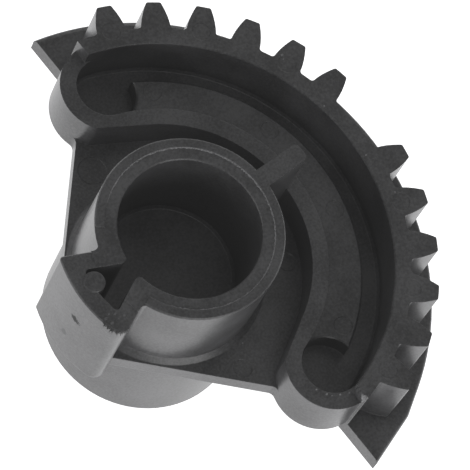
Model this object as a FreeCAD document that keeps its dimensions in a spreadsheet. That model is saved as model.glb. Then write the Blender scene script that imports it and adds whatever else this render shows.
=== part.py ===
import FreeCAD, Part
import math
import os
import Sketcher

os.makedirs("parts", exist_ok=True)
doc = FreeCAD.newDocument("SectorGear")
V = FreeCAD.Vector

# Driving dimensions
# Millimetres and degrees. Z = 0 is the end of the rear hub, X is the line of symmetry.
SIZES = [
    ("gear_module", 2.0, "tooth module"),
    ("full_circle_teeth", 32, "teeth that a whole wheel would have"),
    ("teeth_each_side", 6, "teeth on each side of the missing one"),
    ("pressure_angle", 20.0, "involute pressure angle"),
    ("addendum_factor", 0.8, "stub tooth addendum in modules"),
    ("dedendum_factor", 1.0, "stub tooth dedendum in modules"),
    ("tooth_tip_round", 0.3, "rounding of the tooth tips"),
    ("tooth_root_round", 0.45, "fillet at the tooth roots"),
    ("wall", 2.2, "ring, pocket and keyway wall thickness"),
    ("pocket_inner_radius", 19.9, "kidney pocket, side towards the hub"),
    ("pocket_half_angle", 72.2, "centre of the pocket's round ends"),
    ("lobe_radius", 6.1, "outside of the pocket's round ends"),
    ("wall_tangent_angle", 60.5, "where the inner wall leaves its arc"),
    ("end_plane_x", 7.0, "plane that cuts the toothed ring and flange"),
    ("flange_radius", 35.7, "outside of the flange behind the teeth"),
    ("flange_edge_round", 0.7, "front edge of the flange"),
    ("flange_straight_angle", 59.5, "where the flange edge turns straight on one side"),
    ("flange_bend_angle", 66.2, "where that straight edge bends towards the tip"),
    ("flange_bend", 12.7, "turn of the edge at the bend"),
    ("flange_back", 11.0, "height of the flange's rear face"),
    ("flange_thickness", 2.6, "flange"),
    ("web_thickness", 2.4, "web between hub and ring"),
    ("ring_height", 10.0, "toothed ring above the flange"),
    ("pocket_wall_height", 5.2, "inner wall and lobes above the web"),
    ("island_height", 2.9, "plateau in the pocket above the web"),
    ("island_radius", 24.9, "outer edge of the plateau"),
    ("island_end_radius", 4.3, "hollow ends of the plateau"),
    ("web_edge_angle", 135.6, "direction square to the web's free edges"),
    ("web_edge_distance", 13.1, "web's free edges from the axis"),
    ("web_corner_round", 1.0, "hollow corner of web and lobe"),
    ("wall_corner_round", 0.8, "corner of inner wall and lobe"),
    ("overall_height", 30.0, "rear hub end to front hub face"),
    ("hub_radius", 12.05, "front hub at its face"),
    ("hub_base_radius", 12.2, "front hub at the web"),
    ("bore_radius", 9.15, "bore"),
    ("bore_floor", 14.8, "height of the bore's floor"),
    ("bore_floor_chamfer", 0.4, "corner of bore and floor"),
    ("hub_land_inner_radius", 10.8, "raised land on the hub face"),
    ("hub_land_height", 0.15, "raised land on the hub face"),
    ("hub_land_start", -158.0, "raised land, first end"),
    ("hub_land_end", 145.0, "raised land, second end"),
    ("rear_hub_radius", 13.05, "rear hub"),
    ("rear_hub_chamfer", 0.35, "outer edge of the rear hub's end"),
    ("hub_edge_chamfer", 0.2, "outer edge of the front hub's face"),
    ("recess_radius", 10.1, "core hole in the rear hub at its mouth"),
    ("recess_top_radius", 9.9, "core hole at its floor"),
    ("recess_depth", 12.4, "core hole in the rear hub"),
    ("lug_radius", 17.1, "outside of the keyway lug"),
    ("lug_step", 0.3, "lug top below the hub face"),
    ("lug_step_radius", 13.1, "where the hub face steps down to the lug"),
    ("lug_corner_round", 1.6, "upright corner of the lug, one side"),
    ("lug_small_round", 0.5, "upright corner of the lug, other side"),
    ("lug_hollow_round", 0.8, "hollow corners of lug and hub"),
    ("keyway_radius", 14.8, "far wall of the keyway"),
    ("keyway_mouth_half", 1.25, "half width of the keyway's mouth"),
    ("keyway_mouth_x", 10.0, "where the mouth's width is measured"),
    ("keyway_flare", 25.0, "half angle between the keyway's sides"),
    ("keyway_far_round", 0.8, "far corners of the keyway"),
    ("keyway_mouth_round", 0.9, "corners at the keyway's mouth"),
    ("post_radius", 1.4, "post in the keyway"),
    ("post_x", 14.35, "post centre from the axis"),
    ("post_y", 1.36, "post centre off the line of symmetry"),
    ("post_above_lug", 0.15, "post above the lug's top"),
    ("post_edge_chamfer", 0.12, "rim of the post"),
    ("rib_end", 18.5, "far end of the radial rib"),
    ("rib_width", 2.5, "radial rib"),
    ("rib_corner_round", 0.7, "upright corners of the rib's end"),
    ("hub_foot", 0.7, "sloped foot of the front hub"),
    ("pocket_foot", 0.35, "sloped foot of the pocket's walls"),
    ("plateau_edge", 0.25, "broken edge of the plateau"),
    ("broken_edge", 0.18, "other broken edges"),
    ("mark_radius", 1.2, "ejector pin marks"),
    ("big_mark_radius", 1.85, "large ejector pin mark on the web"),
    ("mark_depth", 0.08, "ejector pin marks"),
    ("ring_mark_radius", 30.1, "circle of the marks on the ring"),
    ("island_mark_radius", 23.2, "circle of the marks on the plateau"),
    ("web_mark_radius", 15.9, "circle of the marks on the web"),
]
sheet = doc.addObject("Spreadsheet::Sheet", "dims")
sheet.Label = "dims"
for row, (alias, value, note) in enumerate(SIZES, start=1):
    sheet.set("A%d" % row, alias)
    sheet.set("B%d" % row, str(value))
    sheet.set("C%d" % row, note)
    sheet.setAlias("B%d" % row, alias)
D = {alias: value for alias, value, note in SIZES}

# Sizes that follow from the driving ones
pitch_radius = D["gear_module"] * D["full_circle_teeth"] / 2
base_circle = pitch_radius * math.cos(math.radians(D["pressure_angle"]))
tip_radius = pitch_radius + D["addendum_factor"] * D["gear_module"]
root_radius = pitch_radius - D["dedendum_factor"] * D["gear_module"]
ring_inner = root_radius - D["wall"]
tooth_pitch = 360.0 / D["full_circle_teeth"]
pocket_mid = (D["pocket_inner_radius"] + ring_inner) / 2
pocket_end = (ring_inner - D["pocket_inner_radius"]) / 2
inner_wall_radius = D["pocket_inner_radius"] - D["wall"]
join_radius = (ring_inner + root_radius) / 2
flange_front = D["flange_back"] + D["flange_thickness"]
web_front = flange_front + D["web_thickness"]
ring_top = flange_front + D["ring_height"]
wall_top = web_front + D["pocket_wall_height"]
island_top = web_front + D["island_height"]
lug_top = D["overall_height"] - D["lug_step"]
hub_face = D["overall_height"] - D["hub_land_height"]
ADDED = [
    ("pitch_radius", "gear_module * full_circle_teeth / 2"),
    ("root_radius", "pitch_radius - dedendum_factor * gear_module"),
    ("ring_inner", "root_radius - wall"),
    ("tooth_pitch", "360 / full_circle_teeth"),
    ("pocket_end", "(ring_inner - pocket_inner_radius) / 2"),
    ("flange_front", "flange_back + flange_thickness"),
    ("web_front", "flange_front + web_thickness"),
    ("ring_top", "flange_front + ring_height"),
    ("wall_top", "web_front + pocket_wall_height"),
    ("island_top", "web_front + island_height"),
    ("lug_top", "overall_height - lug_step"),
    ("hub_face", "overall_height - hub_land_height"),
]
for row, (alias, formula) in enumerate(ADDED, start=len(SIZES) + 2):
    sheet.set("A%d" % row, alias)
    sheet.set("B%d" % row, "=" + formula)
    sheet.setAlias("B%d" % row, alias)
doc.recompute()

body = doc.addObject("PartDesign::Body", "SectorGear")
body.Label = "sector_gear"


# Small geometry helpers
def at(radius, degrees, centre=(0.0, 0.0)):
    a = math.radians(degrees)
    return V(centre[0] + radius * math.cos(a), centre[1] + radius * math.sin(a), 0)


def direction(p, centre):
    return math.degrees(math.atan2(p.y - centre[1], p.x - centre[0]))


def line(p, q):
    return Part.LineSegment(p, q)


def arc(p, middle, q):
    return Part.Arc(p, middle, q)


def arc_about(centre, radius, start, end):
    return arc(at(radius, start, centre), at(radius, (start + end) / 2, centre), at(radius, end, centre))


def mirror(p):
    return V(p.x, -p.y, 0)


def line_meets_circle(p, heading, centre, radius, far=False):
    """The nearer or farther crossing, along the heading, of a line from p with a circle."""
    u = at(1.0, heading)
    w = V(p.x - centre[0], p.y - centre[1], 0)
    b = w.dot(u)
    root = math.sqrt(b * b - w.dot(w) + radius * radius)
    hits = [t for t in (-b - root, -b + root) if t > 0]
    return p + u * (max(hits) if far else min(hits))


def lines_meet(p, heading, q, other_heading):
    """Crossing of the line from p with the line from q."""
    u = at(1.0, heading)
    w = at(1.0, other_heading)
    return p + u * (((q.x - p.x) * w.y - (q.y - p.y) * w.x) / (u.x * w.y - u.y * w.x))


def rounded(points, radii):
    """Closed outline of straight sides with the given radius at each corner."""
    n = len(points)
    parts = []
    ends = []
    for i in range(n):
        a, b, c = points[i - 1], points[i], points[(i + 1) % n]
        u = (a - b).normalize()
        w = (c - b).normalize()
        if radii[i] <= 0:
            ends.append((b, None, b))
            continue
        half = math.acos(max(-1, min(1, u.dot(w)))) / 2
        t = radii[i] / math.tan(half)
        mid = (u + w).normalize()
        centre = b + mid * (radii[i] / math.sin(half))
        ends.append((b + u * t, centre - mid * radii[i], b + w * t))
    for i in range(n):
        first, middle, second = ends[i]
        if middle is not None:
            parts.append(arc(first, middle, second))
        parts.append(line(second, ends[(i + 1) % n][0]))
    return parts


def closed(points):
    """Straight sides round the points."""
    return [line(p, points[(i + 1) % len(points)]) for i, p in enumerate(points)]


# Sketch and feature helpers
def plane(role):
    return [f for f in body.Origin.OriginFeatures if f.Role == role][0]


def sketch(name, height=None, role="XY_Plane"):
    sk = body.newObject("Sketcher::SketchObject", name)
    sk.AttachmentSupport = [(plane(role), "")]
    sk.MapMode = "FlatFace"
    if height:
        sk.setExpression(".AttachmentOffset.Base.z", "dims." + height)
    return sk


def outline(sk, parts, held=()):
    """Adds a closed chain of lines and arcs; held pairs tie an arc about the axis to a named radius."""
    first = sk.GeometryCount
    sk.addGeometry(parts, False)
    n = len(parts)

    def ends(i):
        return [(sk.getPoint(first + i, k), k) for k in (1, 2)]

    for i in range(n):
        j = (i + 1) % n
        pairs = [(p.distanceToPoint(q), a, b) for p, a in ends(i) for q, b in ends(j)]
        gap, a, b = min(pairs)
        sk.addConstraint(Sketcher.Constraint("Coincident", first + i, a, first + j, b))
    for i, name in held:
        sk.addConstraint(Sketcher.Constraint("Coincident", first + i, 3, -1, 1))
        c = sk.addConstraint(Sketcher.Constraint("Radius", first + i, parts[i].Radius))
        sk.setExpression("Constraints[%d]" % c, "dims." + name)
    return first


def circle(sk, centre, radius, radius_name):
    i = sk.addGeometry(Part.Circle(V(centre[0], centre[1], 0), V(0, 0, 1), radius), False)
    if abs(centre[0]) + abs(centre[1]) < 1e-9:
        sk.addConstraint(Sketcher.Constraint("Coincident", i, 3, -1, 1))
    else:
        sk.addConstraint(Sketcher.Constraint("DistanceX", -1, 1, i, 3, centre[0]))
        sk.addConstraint(Sketcher.Constraint("DistanceY", -1, 1, i, 3, centre[1]))
    c = sk.addConstraint(Sketcher.Constraint("Radius", i, radius))
    sk.setExpression("Constraints[%d]" % c, "dims." + radius_name)
    return i


def shaft(sk, points, widths):
    """Closed profile of (radius, height) points; named widths are held by expression."""
    pts = [V(r, z, 0) for r, z in points]
    n = len(pts)
    for i in range(n):
        sk.addGeometry(line(pts[i], pts[(i + 1) % n]), False)
    for i in range(n):
        sk.addConstraint(Sketcher.Constraint("Coincident", i, 2, (i + 1) % n, 1))
    for i in range(n):
        for value, kind, name in ((points[i][0], "DistanceX", widths[i][0]), (points[i][1], "DistanceY", widths[i][1])):
            if value == 0:
                sk.addConstraint(Sketcher.Constraint("PointOnObject", i, 1, -2 if kind == "DistanceX" else -1))
            else:
                c = sk.addConstraint(Sketcher.Constraint(kind, -1, 1, i, 1, value))
                if name:
                    sk.setExpression("Constraints[%d]" % c, name)


def pad(name, sk, length):
    f = body.newObject("PartDesign::Pad", name)
    f.Profile = sk
    f.setExpression("Length", length)
    sk.Visibility = False
    doc.recompute()
    return f


def cut(name, sk, length):
    """Pocket down from the sketch; turned round if it took nothing away."""
    before = body.Shape.Volume
    f = body.newObject("PartDesign::Pocket", name)
    f.Profile = sk
    f.setExpression("Length", length)
    sk.Visibility = False
    doc.recompute()
    if f.Shape.isNull() or before - f.Shape.Volume < 1e-6:
        f.Reversed = not f.Reversed
        doc.recompute()
    return f


def turned(kind, name, sk):
    f = body.newObject("PartDesign::" + kind, name)
    f.Profile = sk
    f.ReferenceAxis = (sk, ["V_Axis"])
    f.Angle = 360.0
    sk.Visibility = False
    doc.recompute()
    return f


# Fillet and chamfer helpers
def ends_of(e):
    return [v.Point for v in e.Vertexes]


def from_axis(p):
    return math.hypot(p.x, p.y)


def level(e, height):
    """True for an edge that lies in the plane at that height."""
    box = e.BoundBox
    return abs(box.ZMin - height) < 1e-3 and abs(box.ZMax - height) < 1e-3


def arc_of(e, radius, tolerance=0.02):
    return isinstance(e.Curve, Part.Circle) and abs(e.Curve.Radius - radius) < tolerance


def upright(e):
    p, q = ends_of(e)[0], ends_of(e)[-1]
    return not isinstance(e.Curve, Part.Circle) and abs(p.z - q.z) > 1 and p.distanceToPoint(q) > 0.9 * e.Length


def dressed(kind, measure, name, test, size):
    last = body.Tip
    names = ["Edge%d" % i for i, e in enumerate(last.Shape.Edges, start=1) if test(e)]
    f = body.newObject("PartDesign::" + kind, name)
    f.Base = (last, names)
    f.setExpression(measure, "dims." + size)
    doc.recompute()
    return f


def fillet(name, test, size):
    return dressed("Fillet", "Radius", name, test, size)


def chamfer(name, test, size):
    return dressed("Chamfer", "Size", name, test, size)


# Sides of the keyway and, a wall further out, of its lug
side_heading = 180 - D["keyway_flare"]
side_normal = at(1.0, side_heading - 90)
keyway_base = V(-D["keyway_mouth_x"], D["keyway_mouth_half"], 0)
lug_base = keyway_base + side_normal * D["wall"]

# Web with the outline of both lobes and the straight free edges, which end in the lug's wall
lobe_centre = at(pocket_mid, D["pocket_half_angle"])
lobe_at = (lobe_centre.x, lobe_centre.y)
edge_normal = at(1.0, D["web_edge_angle"])
edge_foot = edge_normal * D["web_edge_distance"]
edge_heading = D["web_edge_angle"] - 90
web_corner = line_meets_circle(edge_foot, edge_heading, lobe_at, D["lobe_radius"])
join_offset = math.degrees(math.acos((join_radius**2 + pocket_mid**2 - D["lobe_radius"]**2)
                                     / (2 * join_radius * pocket_mid)))
ring_join = at(join_radius, D["pocket_half_angle"] - join_offset)
web_lug = lines_meet(edge_foot, edge_heading, (keyway_base + lug_base) * 0.5, side_heading)


def lobe_arc(start, end):
    """Round end of the pocket from start, over the side away from the ring, to end."""
    a = direction(start, lobe_at)
    b = direction(end, lobe_at)
    while b > a:
        b -= 360
    return arc_about(lobe_at, D["lobe_radius"], a, b)


def flip(curve):
    return arc(mirror(curve.EndPoint), mirror(curve.value((curve.FirstParameter + curve.LastParameter) / 2)),
               mirror(curve.StartPoint))


upper_lobe = lobe_arc(web_corner, ring_join)
web_parts = [
    line(web_lug, web_corner),
    upper_lobe,
    arc(ring_join, at(join_radius, 0), mirror(ring_join)),
    flip(upper_lobe),
    line(mirror(web_corner), mirror(web_lug)),
    line(mirror(web_lug), web_lug),
]
sk = sketch("WebOutline", "flange_front")
outline(sk, web_parts)
web = pad("Web", sk, "dims.web_thickness")

# Wall round the kidney pocket
tangent_point = at(inner_wall_radius, D["wall_tangent_angle"])
wall_corner = line_meets_circle(tangent_point, D["wall_tangent_angle"] + 90, lobe_at, D["lobe_radius"], far=True)
upper_wall = lobe_arc(wall_corner, ring_join)
wall_parts = [
    line(tangent_point, wall_corner),
    upper_wall,
    arc(ring_join, at(join_radius, 0), mirror(ring_join)),
    flip(upper_wall),
    line(mirror(wall_corner), mirror(tangent_point)),
    arc(mirror(tangent_point), at(inner_wall_radius, 0), tangent_point),
]
sk = sketch("PocketWallOutline", "web_front")
outline(sk, wall_parts)
pocket_wall = pad("PocketWall", sk, "dims.pocket_wall_height")



def upright_at(e, spot):
    return upright(e) and any(math.hypot(p.x - spot.x, abs(p.y) - spot.y) < 0.01 for p in ends_of(e))


web_corners = fillet("WebCorners", lambda e: upright_at(e, web_corner), "web_corner_round")
wall_corners = fillet("WallCorners", lambda e: upright_at(e, wall_corner), "wall_corner_round")

# Toothed ring, cut off square at both ends
ring_out = math.degrees(math.acos(D["end_plane_x"] / root_radius))
ring_in = math.degrees(math.acos(D["end_plane_x"] / ring_inner))
sk = sketch("RingOutline", "flange_back")
outline(sk, [
    arc(at(root_radius, -ring_out), at(root_radius, 0), at(root_radius, ring_out)),
    line(at(root_radius, ring_out), at(ring_inner, ring_in)),
    arc(at(ring_inner, ring_in), at(ring_inner, 0), at(ring_inner, -ring_in)),
    line(at(ring_inner, -ring_in), at(root_radius, -ring_out)),
])
ring = pad("Ring", sk, "dims.flange_thickness + dims.ring_height")

# Flange behind the teeth: round to one tip, with a bend before the other
flange_low = at(ring_inner, ring_in)
flange_tip = at(D["flange_radius"], math.degrees(math.acos(D["end_plane_x"] / D["flange_radius"])))
tangent = at(D["flange_radius"], -D["flange_straight_angle"])
bend_turn = math.radians(D["flange_bend_angle"] - D["flange_straight_angle"])
bend = at(D["flange_radius"] / math.cos(bend_turn), -D["flange_bend_angle"])
heading = at(1.0, -D["flange_straight_angle"] - D["flange_bend"] - 90)
bent_tip = bend + heading * ((D["end_plane_x"] - bend.x) / heading.x)
sk = sketch("FlangeOutline", "flange_back")
outline(sk, [
    arc(tangent, at(D["flange_radius"], 0), flange_tip),
    line(flange_tip, flange_low),
    arc(flange_low, at(ring_inner, 0), mirror(flange_low)),
    line(mirror(flange_low), bent_tip),
    line(bent_tip, bend),
    line(bend, tangent),
])
flange = pad("Flange", sk, "dims.flange_thickness")


def flange_rim(e):
    return level(e, flange_front) and all(from_axis(p) > D["flange_radius"] - 0.01 for p in ends_of(e))


flange_edge = fillet("FlangeEdge", flange_rim, "flange_edge_round")


# Involute stub tooth with rounded tip and root
def involute(radius, half_thickness_angle):
    """Point on the upper flank of a tooth lying along X."""
    alpha = math.acos(min(1.0, base_circle / radius))
    spread = half_thickness_angle - (math.tan(alpha) - alpha)
    return V(radius * math.cos(spread), radius * math.sin(spread), 0)


def flank_angle():
    alpha = math.radians(D["pressure_angle"])
    return math.pi / (2 * D["full_circle_teeth"]) + math.tan(alpha) - alpha


def flank_frame(radius):
    """Point, and unit normal away from the tooth, of the upper flank."""
    p = involute(radius, flank_angle())
    q = involute(radius + 1e-4, flank_angle())
    t = (q - p).normalize()
    return p, V(-t.y, t.x, 0)


def solve(function, low, high):
    for _ in range(60):
        mid = (low + high) / 2
        if (function(low) > 0) == (function(mid) > 0):
            low = mid
        else:
            high = mid
    return (low + high) / 2


def tip_centre(radius):
    p, n = flank_frame(radius)
    return p - n * D["tooth_tip_round"]


def root_centre(radius):
    p, n = flank_frame(radius)
    return p + n * D["tooth_root_round"]


tip_touch = solve(lambda r: tip_centre(r).Length - (tip_radius - D["tooth_tip_round"]), pitch_radius, tip_radius)
root_touch = solve(lambda r: root_centre(r).Length - (root_radius + D["tooth_root_round"]),
                   base_circle + 1e-6, pitch_radius)
FLANK_POINTS = 7


def tooth(angle):
    """Closed outline of one tooth, its foot sunk into the ring."""
    turn = FreeCAD.Rotation(V(0, 0, 1), angle)

    def both(p):
        return turn.multVec(p), turn.multVec(mirror(p))

    steps = [root_touch + (tip_touch - root_touch) * i / (FLANK_POINTS - 1) for i in range(FLANK_POINTS)]
    upper = [involute(r, flank_angle()) for r in steps]
    tc = tip_centre(tip_touch)
    rc = root_centre(root_touch)
    tip_in = tc + V(tc.x, tc.y, 0).normalize() * D["tooth_tip_round"]
    root_in = rc - V(rc.x, rc.y, 0).normalize() * D["tooth_root_round"]
    tip_mid = tc + ((tip_in + upper[-1]) * 0.5 - tc).normalize() * D["tooth_tip_round"]
    root_mid = rc + ((root_in + upper[0]) * 0.5 - rc).normalize() * D["tooth_root_round"]
    foot = V(root_in.x - D["wall"] / 2, root_in.y, 0)
    left = Part.BSplineCurve()
    left.interpolate([turn.multVec(p) for p in upper])
    right = Part.BSplineCurve()
    right.interpolate([turn.multVec(mirror(p)) for p in reversed(upper)])
    (ti, ti_m), (ri, ri_m) = both(tip_in), both(root_in)
    (tm, tm_m), (rm, rm_m) = both(tip_mid), both(root_mid)
    (u0, u0_m), (u1, u1_m) = both(upper[0]), both(upper[-1])
    (ft, ft_m) = both(foot)
    return [
        line(ft, ri),
        arc(ri, rm, u0),
        left,
        arc(u1, tm, ti),
        arc(ti, turn.multVec(V(tip_radius, 0, 0)), ti_m),
        arc(ti_m, tm_m, u1_m),
        right,
        arc(u0_m, rm_m, ri_m),
        line(ri_m, ft_m),
        line(ft_m, ft),
    ]


for side, first_angle in (("Upper", tooth_pitch), ("Lower", -tooth_pitch * D["teeth_each_side"])):
    sk = sketch("ToothProfile" + side, "flange_front")
    sk.addGeometry(tooth(first_angle), False)
    one = pad("Tooth" + side, sk, "dims.ring_height")
    row = body.newObject("PartDesign::PolarPattern", "Teeth" + side)
    row.Originals = [one]
    row.Axis = (sk, ["N_Axis"])
    row.setExpression("Angle", "dims.tooth_pitch * (dims.teeth_each_side - 1)")
    row.setExpression("Occurrences", "dims.teeth_each_side")
    body.Tip = row
    doc.recompute()

# Kidney pocket and the low plateau left standing in it
end_at = lobe_at
top = D["pocket_half_angle"]


def kidney(inner, outer, end_radius):
    mid = (inner + outer) / 2
    far = at(mid + end_radius, top)
    near = at(mid - end_radius, top)
    bulge = at(end_radius, top + 90, (at(mid, top).x, at(mid, top).y))
    return [
        arc(mirror(far), at(outer, 0), far),
        arc(far, bulge, near),
        arc(near, at(inner, 0), mirror(near)),
        arc(mirror(near), mirror(bulge), mirror(far)),
    ]


sk = sketch("PocketOutline", "ring_top")
outline(sk, kidney(D["pocket_inner_radius"], ring_inner, pocket_end))
pocket = cut("KidneyPocket", sk, "dims.ring_top - dims.web_front")
pocket_foot = chamfer("PocketFoot", lambda e: level(e, web_front) and min(from_axis(p) for p in ends_of(e)) > 19
                      and (arc_of(e, D["pocket_inner_radius"]) or arc_of(e, ring_inner) or arc_of(e, pocket_end)),
                      "pocket_foot")
ring_lip = chamfer("RingLip", lambda e: level(e, ring_top) and arc_of(e, ring_inner), "broken_edge")


def circles_meet(radius, centre, other):
    """Crossing of a circle about the axis with one about centre, on the side nearer X."""
    d = math.hypot(centre[0], centre[1])
    swing = math.degrees(math.acos((radius**2 + d**2 - other**2) / (2 * radius * d)))
    return at(radius, math.degrees(math.atan2(centre[1], centre[0])) - swing)


island_foot = D["pocket_inner_radius"] - D["wall"] / 2
outer_end = circles_meet(D["island_radius"], lobe_at, D["island_end_radius"])
inner_end = circles_meet(D["pocket_inner_radius"] - 0.05, lobe_at, D["island_end_radius"])
hollow = at(D["island_end_radius"], (direction(outer_end, lobe_at) + direction(inner_end, lobe_at)) / 2, lobe_at)
foot_end = at(island_foot, direction(inner_end, (0.0, 0.0)) - 1.0)
sk = sketch("IslandOutline", "web_front")
outline(sk, [
    arc(mirror(outer_end), at(D["island_radius"], 0), outer_end),
    arc(outer_end, hollow, inner_end),
    line(inner_end, foot_end),
    arc(foot_end, at(island_foot, 0), mirror(foot_end)),
    line(mirror(foot_end), mirror(inner_end)),
    arc(mirror(inner_end), mirror(hollow), mirror(outer_end)),
])
island = pad("Island", sk, "dims.island_height")
island_edge = chamfer("IslandEdge", lambda e: level(e, island_top)
                      and (arc_of(e, D["island_radius"]) or arc_of(e, D["island_end_radius"])), "plateau_edge")

# Hub in front and behind, turned in one piece
hub_drop = (D["hub_base_radius"] - D["hub_radius"]) / (D["overall_height"] - web_front)
sk = sketch("HubProfile", role="XZ_Plane")
foot = D["hub_foot"]
rim = D["hub_edge_chamfer"]
rear = D["rear_hub_chamfer"]
outline(sk, closed([
    V(0, 0, 0),
    V(D["rear_hub_radius"] - rear, 0, 0),
    V(D["rear_hub_radius"], rear, 0),
    V(D["rear_hub_radius"], flange_front + D["web_thickness"] / 2, 0),
    V(D["hub_base_radius"] + foot, flange_front + D["web_thickness"] / 2, 0),
    V(D["hub_base_radius"] + foot, web_front, 0),
    V(D["hub_base_radius"] - hub_drop * foot, web_front + foot, 0),
    V(D["hub_radius"], D["overall_height"] - rim, 0),
    V(D["hub_radius"] - rim, D["overall_height"], 0),
    V(0, D["overall_height"], 0),
]))
hub = turned("Revolution", "Hub", sk)

# Radial rib from the hub onto the inner wall
sk = sketch("RibOutline", "web_front")
rib_half = D["rib_width"] / 2
rr = D["rib_corner_round"]
outline(sk, rounded(
    [V(D["bore_radius"] + 1, -rib_half, 0), V(D["rib_end"], -rib_half, 0),
     V(D["rib_end"], rib_half, 0), V(D["bore_radius"] + 1, rib_half, 0)],
    [0, rr, rr, 0]))
rib = pad("Rib", sk, "dims.overall_height - dims.web_front")

# Corner between a side line of the keyway or lug and the round wall that it meets
def side_round(base, circle_radius, radius):
    """Corner between the side line from base and a circle about the axis: line end, middle, circle end."""
    centre = line_meets_circle(base + side_normal * radius, side_heading, (0.0, 0.0), circle_radius + radius)
    on_line = centre - side_normal * radius
    on_circle = centre * (circle_radius / (circle_radius + radius))
    middle = centre + ((on_line + on_circle) * 0.5 - centre).normalize() * radius
    return on_line, middle, on_circle


# Keyway lug
lug_outer = line_meets_circle(lug_base, side_heading, (0.0, 0.0), D["lug_radius"])
hollow_line, hollow_middle, hollow_hub = side_round(lug_base, D["hub_radius"] - 0.05, D["lug_hollow_round"])
lug_inner = hollow_hub * (1 - D["wall"] / 2 / hollow_hub.Length)
lug_start = at(lug_inner.Length, 180)
sk = sketch("LugOutline", "flange_front")
outline(sk, [
    arc(lug_outer, at(D["lug_radius"], 180), mirror(lug_outer)),
    line(mirror(lug_outer), mirror(hollow_line)),
    arc(mirror(hollow_line), mirror(hollow_middle), mirror(hollow_hub)),
    line(mirror(hollow_hub), mirror(lug_inner)),
    arc(mirror(lug_inner), lug_start, lug_inner),
    line(lug_inner, hollow_hub),
    arc(hollow_hub, hollow_middle, hollow_line),
    line(hollow_line, lug_outer),
])
lug = pad("Lug", sk, "dims.hub_face - dims.flange_front")
clear_angle = 180 - direction(lug_outer, (0.0, 0.0)) + 3
sk = sketch("LugStepOutline", "hub_face")
outline(sk, [
    arc_about((0.0, 0.0), D["lug_radius"] + 1, 180 - clear_angle, 180 + clear_angle),
    line(at(D["lug_radius"] + 1, 180 + clear_angle), at(D["lug_step_radius"], 180 + clear_angle)),
    arc_about((0.0, 0.0), D["lug_step_radius"], 180 + clear_angle, 180 - clear_angle),
    line(at(D["lug_step_radius"], 180 - clear_angle), at(D["lug_radius"] + 1, 180 - clear_angle)),
])
lug_step = cut("LugStep", sk, "dims.hub_face - dims.lug_top")


def lug_edge(e, side):
    return (upright(e) and all(abs(from_axis(p) - D["lug_radius"]) < 0.01 for p in ends_of(e))
            and ends_of(e)[0].y * side > 0 and ends_of(e)[0].x < 0)


lug_corner = fillet("LugCorner", lambda e: lug_edge(e, -1), "lug_corner_round")
lug_small = fillet("LugSmallCorner", lambda e: lug_edge(e, 1), "lug_small_round")
lug_rim = chamfer("LugRim", lambda e: level(e, lug_top) and arc_of(e, D["lug_radius"]), "broken_edge")

# Step in the hub face, leaving a raised land round most of its rim
a0 = D["hub_land_start"] + 360
a1 = D["hub_land_end"]
am = (a0 + a1) / 2
clear = D["hub_radius"] + 0.5
long_mid = a0 + (360 - a0 + a1) / 2
sk = sketch("HubStepOutline", "overall_height")
inner = D["hub_land_inner_radius"]
outline(sk, [
    arc(at(inner, a0), at(inner, long_mid), at(inner, a1)),
    line(at(inner, a1), at(clear, a1)),
    arc(at(clear, a1), at(clear, am), at(clear, a0)),
    line(at(clear, a0), at(inner, a0)),
])
hub_step = cut("HubStep", sk, "dims.hub_land_height")

# Bore from the front, straight, and core hole from behind, drafted
sk = sketch("BoreProfile", role="XZ_Plane")
corner = D["bore_floor_chamfer"]
outline(sk, closed([
    V(0, D["bore_floor"], 0),
    V(D["bore_radius"] - corner, D["bore_floor"], 0),
    V(D["bore_radius"], D["bore_floor"] + corner, 0),
    V(D["bore_radius"], D["overall_height"], 0),
    V(0, D["overall_height"], 0),
]))
bore = turned("Groove", "Bore", sk)
sk = sketch("CoreHoleProfile", role="XZ_Plane")
shaft(sk, [
    (0, 0),
    (D["recess_radius"], 0),
    (D["recess_top_radius"], D["recess_depth"]),
    (0, D["recess_depth"]),
], [
    (None, None),
    ("dims.recess_radius", None),
    ("dims.recess_top_radius", "dims.recess_depth"),
    (None, "dims.recess_depth"),
])
core = turned("Groove", "CoreHole", sk)
core_mouth = chamfer("CoreMouth", lambda e: level(e, 0) and arc_of(e, D["recess_radius"]), "broken_edge")
bore_lip = chamfer("BoreLip", lambda e: level(e, hub_face) and arc_of(e, D["bore_radius"]), "broken_edge")

# Keyway through the hub wall into the lug
far = line_meets_circle(keyway_base, side_heading, (0.0, 0.0), D["keyway_radius"])
round_t = D["keyway_far_round"]
side_end = far + (keyway_base - far).normalize() * round_t
arc_end = at(D["keyway_radius"], direction(far, (0.0, 0.0)) + math.degrees(round_t / D["keyway_radius"]))
soft = (side_end + arc_end) * 0.25 + far * 0.5
mouth_line, mouth_middle, mouth_bore = side_round(keyway_base, D["bore_radius"] - 0.02, D["keyway_mouth_round"])
mouth_in = mouth_bore * (1 - 0.6 / D["bore_radius"])
sk = sketch("KeywayOutline", "overall_height")
outline(sk, [
    line(mouth_line, side_end),
    arc(side_end, soft, arc_end),
    arc(arc_end, at(D["keyway_radius"], 180), mirror(arc_end)),
    arc(mirror(arc_end), mirror(soft), mirror(side_end)),
    line(mirror(side_end), mirror(mouth_line)),
    arc(mirror(mouth_line), mirror(mouth_middle), mirror(mouth_bore)),
    line(mirror(mouth_bore), mirror(mouth_in)),
    line(mirror(mouth_in), mouth_in),
    line(mouth_in, mouth_bore),
    arc(mouth_bore, mouth_middle, mouth_line),
])
keyway = cut("Keyway", sk, "dims.overall_height - dims.bore_floor")

# Post in the keyway
sk = sketch("PostOutline", "bore_floor")
circle(sk, (-D["post_x"], D["post_y"]), D["post_radius"], "post_radius")
post = pad("Post", sk, "dims.lug_top - dims.bore_floor + dims.post_above_lug")
post_rim = chamfer("PostRim", lambda e: level(e, lug_top + D["post_above_lug"]) and arc_of(e, D["post_radius"]),
                   "post_edge_chamfer")


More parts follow.
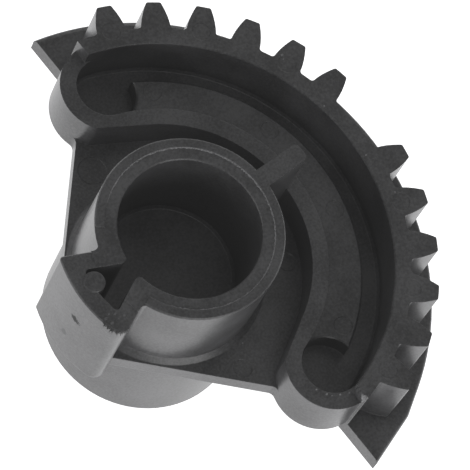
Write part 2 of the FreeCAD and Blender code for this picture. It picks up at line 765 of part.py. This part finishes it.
# Ejector pin marks, shallow rounds in the upper faces
def marks(name, height, spots):
    sk = sketch(name + "Circles", height)
    for spot, radius_name in spots:
        circle(sk, (spot.x, spot.y), D[radius_name], radius_name)
    return cut(name, sk, "dims.mark_depth")


ring_spots = [(at(D["ring_mark_radius"], s * tooth_pitch * k), "mark_radius") for k in (2, 4, 6) for s in (1, -1)]
island_spots = [(at(D["island_mark_radius"], a), "mark_radius") for a in (56.6, 16.6, -16.6, -56.6)]
web_spots = [
    (at(D["web_mark_radius"], 87.8), "big_mark_radius"),
    (at(D["web_mark_radius"], -30.9), "mark_radius"),
    (at(D["web_mark_radius"], -91.3), "mark_radius"),
]
marks("RingMarks", "ring_top", ring_spots)
marks("IslandMarks", "island_top", island_spots)
marks("WebMarks", "web_front", web_spots)


# Checks and export
for o in doc.Objects:
    if "Invalid" in o.State or "Error" in o.State:
        raise RuntimeError("%s is %s" % (o.Name, o.State))
    if o.isDerivedFrom("PartDesign::Feature") and (o.Shape.isNull() or not o.Shape.isValid()):
        raise RuntimeError("%s has no valid shape" % o.Name)
shape = body.Shape
if len(shape.Solids) != 1:
    raise RuntimeError("the part is %d solids" % len(shape.Solids))
print("volume cm3", round(shape.Volume / 1000, 3), "centre", shape.Solids[0].CenterOfMass, "box", shape.BoundBox)
shape.exportStep("parts/%s.step" % body.Label)
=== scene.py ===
import math
import random

import bmesh
import bpy
from mathutils import Matrix, Vector, noise


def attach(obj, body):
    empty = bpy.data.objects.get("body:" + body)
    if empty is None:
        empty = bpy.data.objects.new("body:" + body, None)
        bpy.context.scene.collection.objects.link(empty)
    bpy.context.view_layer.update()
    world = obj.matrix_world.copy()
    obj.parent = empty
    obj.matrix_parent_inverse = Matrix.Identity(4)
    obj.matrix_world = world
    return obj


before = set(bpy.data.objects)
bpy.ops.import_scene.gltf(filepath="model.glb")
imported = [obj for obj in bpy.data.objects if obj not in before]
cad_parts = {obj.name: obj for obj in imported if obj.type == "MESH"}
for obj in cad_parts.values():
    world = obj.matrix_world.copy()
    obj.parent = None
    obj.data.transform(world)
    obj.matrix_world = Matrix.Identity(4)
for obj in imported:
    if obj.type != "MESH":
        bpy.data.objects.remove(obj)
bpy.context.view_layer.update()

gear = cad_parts["sector_gear"]

MM = 0.001

# Heights of the upper faces, millimetres
HUB_TOP = 30.0
LUG_TOP = 29.7
RING_TOP = 23.6
WALL_TOP = 21.2
WEB_TOP = 16.0

# Edges that the torn pieces and the painted highlight follow, millimetres and degrees
LAND_RADIUS = 10.8
LUG_RADIUS = 17.1
LUG_CORNER = (-14.919, -4.206)
LUG_CORNER_RADIUS = 1.6
LUG_CORNER_START = 195.74

# Studio
FLOOR_SIZE = 6.0
FLOOR_GLOW = 0.98
TENT_LIGHT = 0.30
LAMP_TARGET = (0, 0, 0.02)
VEIL = 0.010

# Camera fitted to the photograph; pixels, metres and columns of camera axes
IMAGE = 470
FOCAL_PX = 3742.45
PRINCIPAL = (-1.505, -2.689)
SENSOR_MM = 36.0
CAMERA_PLACE = (-0.185151, -0.076401, 0.443175)
CAMERA_AXES = (
    (0.746416, 0.523310, -0.411108),
    (-0.623813, 0.765363, -0.158357),
    (0.231777, 0.374655, 0.897727),
)


class Nodes:
    """A material's node tree with its shader in place."""

    def __init__(self, name):
        self.mat = bpy.data.materials.new(name)
        self.mat.use_nodes = True
        self.tree = self.mat.node_tree
        self.shader = self.tree.nodes["Principled BSDF"]
        self.where = self.add("TexCoord").outputs["Object"]

    def add(self, kind):
        return self.tree.nodes.new("ShaderNode" + kind)

    def link(self, out, into):
        self.tree.links.new(out, into)

    def surface(self, socket, out):
        self.link(out, self.shader.inputs[socket])

    def math(self, operation, a, b):
        node = self.add("Math")
        node.operation = operation
        for socket, value in zip(node.inputs, (a, b)):
            if isinstance(value, (int, float)):
                socket.default_value = value
            else:
                self.link(value, socket)
        return node.outputs[0]

    def vector(self, operation, a, b=None):
        """Vector node with a linked to its first socket and b, if given, set on the second."""
        node = self.add("VectorMath")
        node.operation = operation
        self.link(a, node.inputs[0])
        if b is not None:
            node.inputs[1].default_value = b
        return node

    def noise(self, scale, detail=3.0):
        node = self.add("TexNoise")
        node.inputs["Scale"].default_value = scale
        node.inputs["Detail"].default_value = detail
        self.link(self.where, node.inputs["Vector"])
        return node.outputs["Fac"]

    def spread(self, value, low, high, start=0.0, end=1.0):
        """Value from start..end mapped onto low..high."""
        node = self.add("MapRange")
        node.inputs["From Min"].default_value = start
        node.inputs["From Max"].default_value = end
        node.inputs["To Min"].default_value = low
        node.inputs["To Max"].default_value = high
        self.link(value, node.inputs["Value"])
        return node.outputs["Result"]

    def ramp(self, value, *stops):
        """Near-neutral greys at the given positions."""
        blue_cast = 1.03
        node = self.add("ValToRGB")
        for element, (position, tone) in zip(node.color_ramp.elements, stops):
            element.position = position
            element.color = (tone, tone, tone * blue_cast, 1)
        self.link(value, node.inputs["Fac"])
        return node.outputs["Color"]

    def mix_towards(self, factor, plain, tone):
        """Colour plain, turning to a grey tone where factor is one."""
        node = self.add("Mix")
        node.data_type = "RGBA"
        share, first, second = (s for s in node.inputs if s.enabled)
        second.default_value = (tone, tone, tone, 1)
        self.link(factor, share)
        self.link(plain, first)
        return next(s for s in node.outputs if s.enabled)

    def streak(self, centre, half_size, ragged):
        """One inside a ragged-edged patch about centre, zero outside; millimetres."""
        wander = 0.7
        solid_within, gone_beyond = 0.75, 1.05
        offset = self.vector("SUBTRACT", self.where, Vector(centre) * MM)
        share = self.vector("DIVIDE", offset.outputs[0], Vector(half_size) * MM)
        length = self.vector("LENGTH", share.outputs[0])
        edge = self.math("ADD", length.outputs["Value"], self.spread(ragged, -wander, wander))
        return self.spread(edge, 1.0, 0.0, solid_within, gone_beyond)


# Materials
def black_plastic():
    """Mottled, finely grained moulding plastic with two scuffs on the lug's wall."""
    faint_share = 0.3
    scuff_tone = 0.015
    scuff_roughness = 0.45
    n = Nodes("black_plastic")
    cloud = n.noise(170.0)
    grain = n.noise(3200.0, 2.0)
    mottle = n.math("ADD", cloud, n.spread(grain, -0.5, 0.5))
    tone = n.ramp(mottle, (0.25, 0.034), (0.75, 0.086))
    deep = n.streak((-LUG_RADIUS, 0.0, 24.0), (1.0, 0.9, 0.55), grain)
    faint = n.streak((-LUG_RADIUS, 0.5, 18.5), (1.0, 0.5, 0.7), grain)
    scuffs = n.math("MAXIMUM", deep, n.math("MULTIPLY", faint, faint_share))
    n.surface("Base Color", n.mix_towards(scuffs, tone, scuff_tone))
    rubbed = n.math("MULTIPLY", scuffs, scuff_roughness)
    n.surface("Roughness", n.math("ADD", n.spread(cloud, 0.26, 0.36), rubbed))
    n.shader.inputs["IOR"].default_value = 1.5
    bevel = n.add("Bevel")
    bevel.samples = 6
    bevel.inputs["Radius"].default_value = 0.18 * MM
    bump = n.add("Bump")
    bump.inputs["Strength"].default_value = 0.45
    bump.inputs["Distance"].default_value = 0.02 * MM
    n.link(grain, bump.inputs["Height"])
    n.link(bevel.outputs["Normal"], bump.inputs["Normal"])
    n.surface("Normal", bump.outputs["Normal"])
    return n.mat


def torn_and_highlight_plastic(name, darkest, lightest):
    """Plastic whitened where it was torn; its lighter tones also give the painted highlight on
    the land's ragged edge.
    """
    n = Nodes(name)
    grain = n.noise(5000.0, 4.0)
    n.surface("Base Color", n.ramp(grain, (0.35, darkest), (0.65, lightest)))
    n.surface("Roughness", n.spread(grain, 0.45, 0.75))
    return n.mat


def floor_paint():
    """Near-white, lit from below like a light table."""
    n = Nodes("floor_paint")
    n.surface("Base Color", n.ramp(n.noise(3.0), (0.0, 0.88), (1.0, 0.92)))
    n.shader.inputs["Roughness"].default_value = 0.9
    n.shader.inputs["Emission Color"].default_value = (1, 1, 1, 1)
    n.shader.inputs["Emission Strength"].default_value = FLOOR_GLOW
    return n.mat


# Wear and moulding marks that ride with the part; the land burr also carries a painted highlight
def add_piece(name, mesh, material):
    sharp_from = 50
    mesh.materials.append(material)
    mesh.shade_smooth()
    mesh.set_sharp_from_angle(angle=math.radians(sharp_from))
    piece = bpy.data.objects.new(name, mesh)
    bpy.context.scene.collection.objects.link(piece)
    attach(piece, "root")
    return piece


def ribbon(name, rings):
    """Closed mesh through rings of equally many points, given in millimetres."""
    around = len(rings[0])
    verts = [Vector(p) * MM for ring in rings for p in ring]
    last = len(verts) - around
    faces = [tuple(reversed(range(around))), tuple(range(last, last + around))]
    for i in range(0, last, around):
        for k in range(around):
            a, b = i + k, i + (k + 1) % around
            faces.append((a, b, b + around, a + around))
    mesh = bpy.data.meshes.new(name)
    mesh.from_pydata(verts, [], faces)
    return mesh


def lumps(name, places, material, detail=3, highest=HUB_TOP):
    """Rough lumps, each a centre and half sizes in millimetres, cut flat at the highest level."""
    swelling, frequency = 0.35, 1.7
    bm = bmesh.new()
    for centre, half_size in places:
        made = bmesh.ops.create_icosphere(bm, subdivisions=detail, radius=1.0)
        for v in made["verts"]:
            swell = 1 + swelling * noise.noise(v.co * frequency + Vector(centre))
            v.co = Vector([c + h * x * swell for c, h, x in zip(centre, half_size, v.co)])
            v.co.z = min(v.co.z, highest)
            v.co *= MM
    mesh = bpy.data.meshes.new(name)
    bm.to_mesh(mesh)
    bm.free()
    return add_piece(name, mesh, material)


def land_burr_and_highlight(name, material):
    """Fine ragged edge along the inner side of the raised land on the hub face, coloured light as
    a painted highlight where the edge catches light.
    """
    start, end = -150, 130
    fade_over = 10
    rng = random.Random(11)
    rings = []
    for a in range(start, end + 1):
        fade = min(1.0, (a - start) / fade_over, (end - a) / fade_over)
        inward = 0.03 + fade * (0.06 + 0.14 * rng.random())
        profile = (
            (LAND_RADIUS - inward, HUB_TOP - 0.16),
            (LAND_RADIUS - 0.3 * inward, HUB_TOP - 0.03),
            (LAND_RADIUS + 0.02, HUB_TOP - 0.001),
            (LAND_RADIUS + 0.05, HUB_TOP - 0.10),
        )
        turn = math.radians(a)
        rings.append([(r * math.cos(turn), r * math.sin(turn), z) for r, z in profile])
    return add_piece(name, ribbon(name, rings), material)


def along_arc(centre, radius, start, end, steps):
    """Points at equal steps along an arc, both ends included, each with its outward direction."""
    points = []
    for i in range(steps + 1):
        turn = math.radians(start + (end - start) * i / steps)
        out = Vector((math.cos(turn), math.sin(turn)))
        points.append((Vector(centre) + out * radius, out))
    return points


def flash(name, material):
    """Frayed fin along the lug's top rim and round its lower corner."""
    rim = along_arc((0, 0), LUG_RADIUS, 191.0, LUG_CORNER_START, 16)
    corner = along_arc(LUG_CORNER, LUG_CORNER_RADIUS, LUG_CORNER_START, 285.0, 43)
    path = rim[:-1] + corner
    fade_in, fade_out = 6, 10
    rng = random.Random(5)
    rings = []
    for i, (point, out) in enumerate(path):
        fade = min(1.0, i / fade_in, (len(path) - 1 - i) / fade_out)
        reach = fade * (0.06 + 0.50 * rng.random() ** 2)
        droop = fade * 0.35 * rng.random()
        profile = (
            (-0.30, LUG_TOP - 0.04),
            (-0.10, LUG_TOP + 0.05 * fade - 0.01),
            (reach, LUG_TOP - 0.05 - droop),
            (-0.06, LUG_TOP - 0.28),
        )
        spots = [(point + out * along, z) for along, z in profile]
        rings.append([(spot.x, spot.y, z) for spot, z in spots])
    return add_piece(name, ribbon(name, rings), material)


def panel(name, place, size, power):
    """Soft rectangular lamp that faces the part."""
    light = bpy.data.lights.new(name, "AREA")
    light.shape = "RECTANGLE"
    light.size, light.size_y = size
    light.energy = power
    lamp = bpy.data.objects.new(name, light)
    bpy.context.scene.collection.objects.link(lamp)
    lamp.location = place
    facing = Vector(LAMP_TARGET) - lamp.location
    lamp.rotation_euler = facing.to_track_quat("-Z", "Y").to_euler()


plastic = black_plastic()
# Light torn material: whitened specks, and the painted highlight on the land burr
torn_and_highlight = torn_and_highlight_plastic("torn_and_highlight_plastic", 0.08, 0.24)
scraped = torn_and_highlight_plastic("scraped_plastic", 0.05, 0.12)
gear.data.materials.clear()
gear.data.materials.append(plastic)

flash("lug_flash", plastic)
# The land burr's light colour is painted highlight, standing in for the edge catching light
land_burr_and_highlight("land_burr_and_highlight", torn_and_highlight)
lumps("gate_stub", [((7.0, -28.1, 22.7), (0.30, 0.8, 1.9))], plastic, 4, RING_TOP - 0.01)
lumps("specks", [
    ((x, y, z), (size, size * 0.8, size * 0.35)) for x, y, z, size in (
        (28.03, 12.84, RING_TOP, 0.20), (27.80, 12.30, RING_TOP, 0.14),
        (28.02, 4.27, RING_TOP, 0.15), (28.18, -4.04, RING_TOP, 0.14),
        (28.00, -10.10, RING_TOP, 0.14), (1.80, -13.30, WEB_TOP, 0.14),
        (5.38, -26.43, WALL_TOP, 0.17), (4.01, -25.39, WALL_TOP, 0.19),
        (6.51, -26.96, WALL_TOP, 0.12), (3.34, -24.20, WALL_TOP, 0.15),
        (4.44, -25.95, WALL_TOP, 0.12),
    )], torn_and_highlight)
lumps("lug_flakes", [
    ((x, y, LUG_TOP), (size, size * 0.6, 0.04)) for x, y, size in (
        (-14.00, -4.19, 0.34), (-14.87, -3.30, 0.26), (-16.23, -3.14, 0.28),
        (-15.94, -4.01, 0.30), (-14.85, -4.06, 0.26), (-15.55, -2.87, 0.22),
    )], scraped)

# Pale floor
bpy.ops.mesh.primitive_plane_add(size=FLOOR_SIZE, location=(0, 0, 0))
floor = bpy.context.object
floor.name = "floor"
floor.data.materials.append(floor_paint())

# Even light tent and soft panels; metres and watts
world = bpy.data.worlds.new("studio")
bpy.context.scene.world = world
world.use_nodes = True
tent = world.node_tree.nodes["Background"]
tent.inputs["Color"].default_value = (1, 1, 1, 1)
tent.inputs["Strength"].default_value = TENT_LIGHT
panel("left_panel", (-0.9, 0.1, 0.25), (0.9, 0.4), 1.3)
panel("back_left_panel", (-0.7, 0.65, 0.3), (0.4, 0.4), 0.5)
panel("front_panel", (-0.3, -0.9, 0.25), (0.9, 0.4), 2.9)
panel("right_panel", (0.8, 0.4, 0.5), (0.6, 0.6), 1.2)
panel("zenith_panel", (-0.05, -0.1, 1.0), (0.3, 0.3), 0.4)

# Camera at the photograph's viewing angle
camera_data = bpy.data.cameras.new("camera")
camera = bpy.data.objects.new("camera", camera_data)
bpy.context.scene.collection.objects.link(camera)
camera_data.sensor_fit = "HORIZONTAL"
camera_data.sensor_width = SENSOR_MM
camera_data.lens = FOCAL_PX / IMAGE * SENSOR_MM
camera_data.shift_x = -PRINCIPAL[0] / IMAGE
camera_data.shift_y = PRINCIPAL[1] / IMAGE
camera_data.clip_start = 0.01
camera_data.clip_end = 20
camera.matrix_world = Matrix.Translation(CAMERA_PLACE) @ Matrix(CAMERA_AXES).to_4x4()
bpy.context.scene.camera = camera

# Film response with the photograph's slightly lifted blacks
view = bpy.context.scene.view_settings
view.view_transform = "Standard"
view.use_curve_mapping = True
combined = view.curve_mapping.curves[3]
combined.points[0].location = (0.0, VEIL)
view.curve_mapping.update()
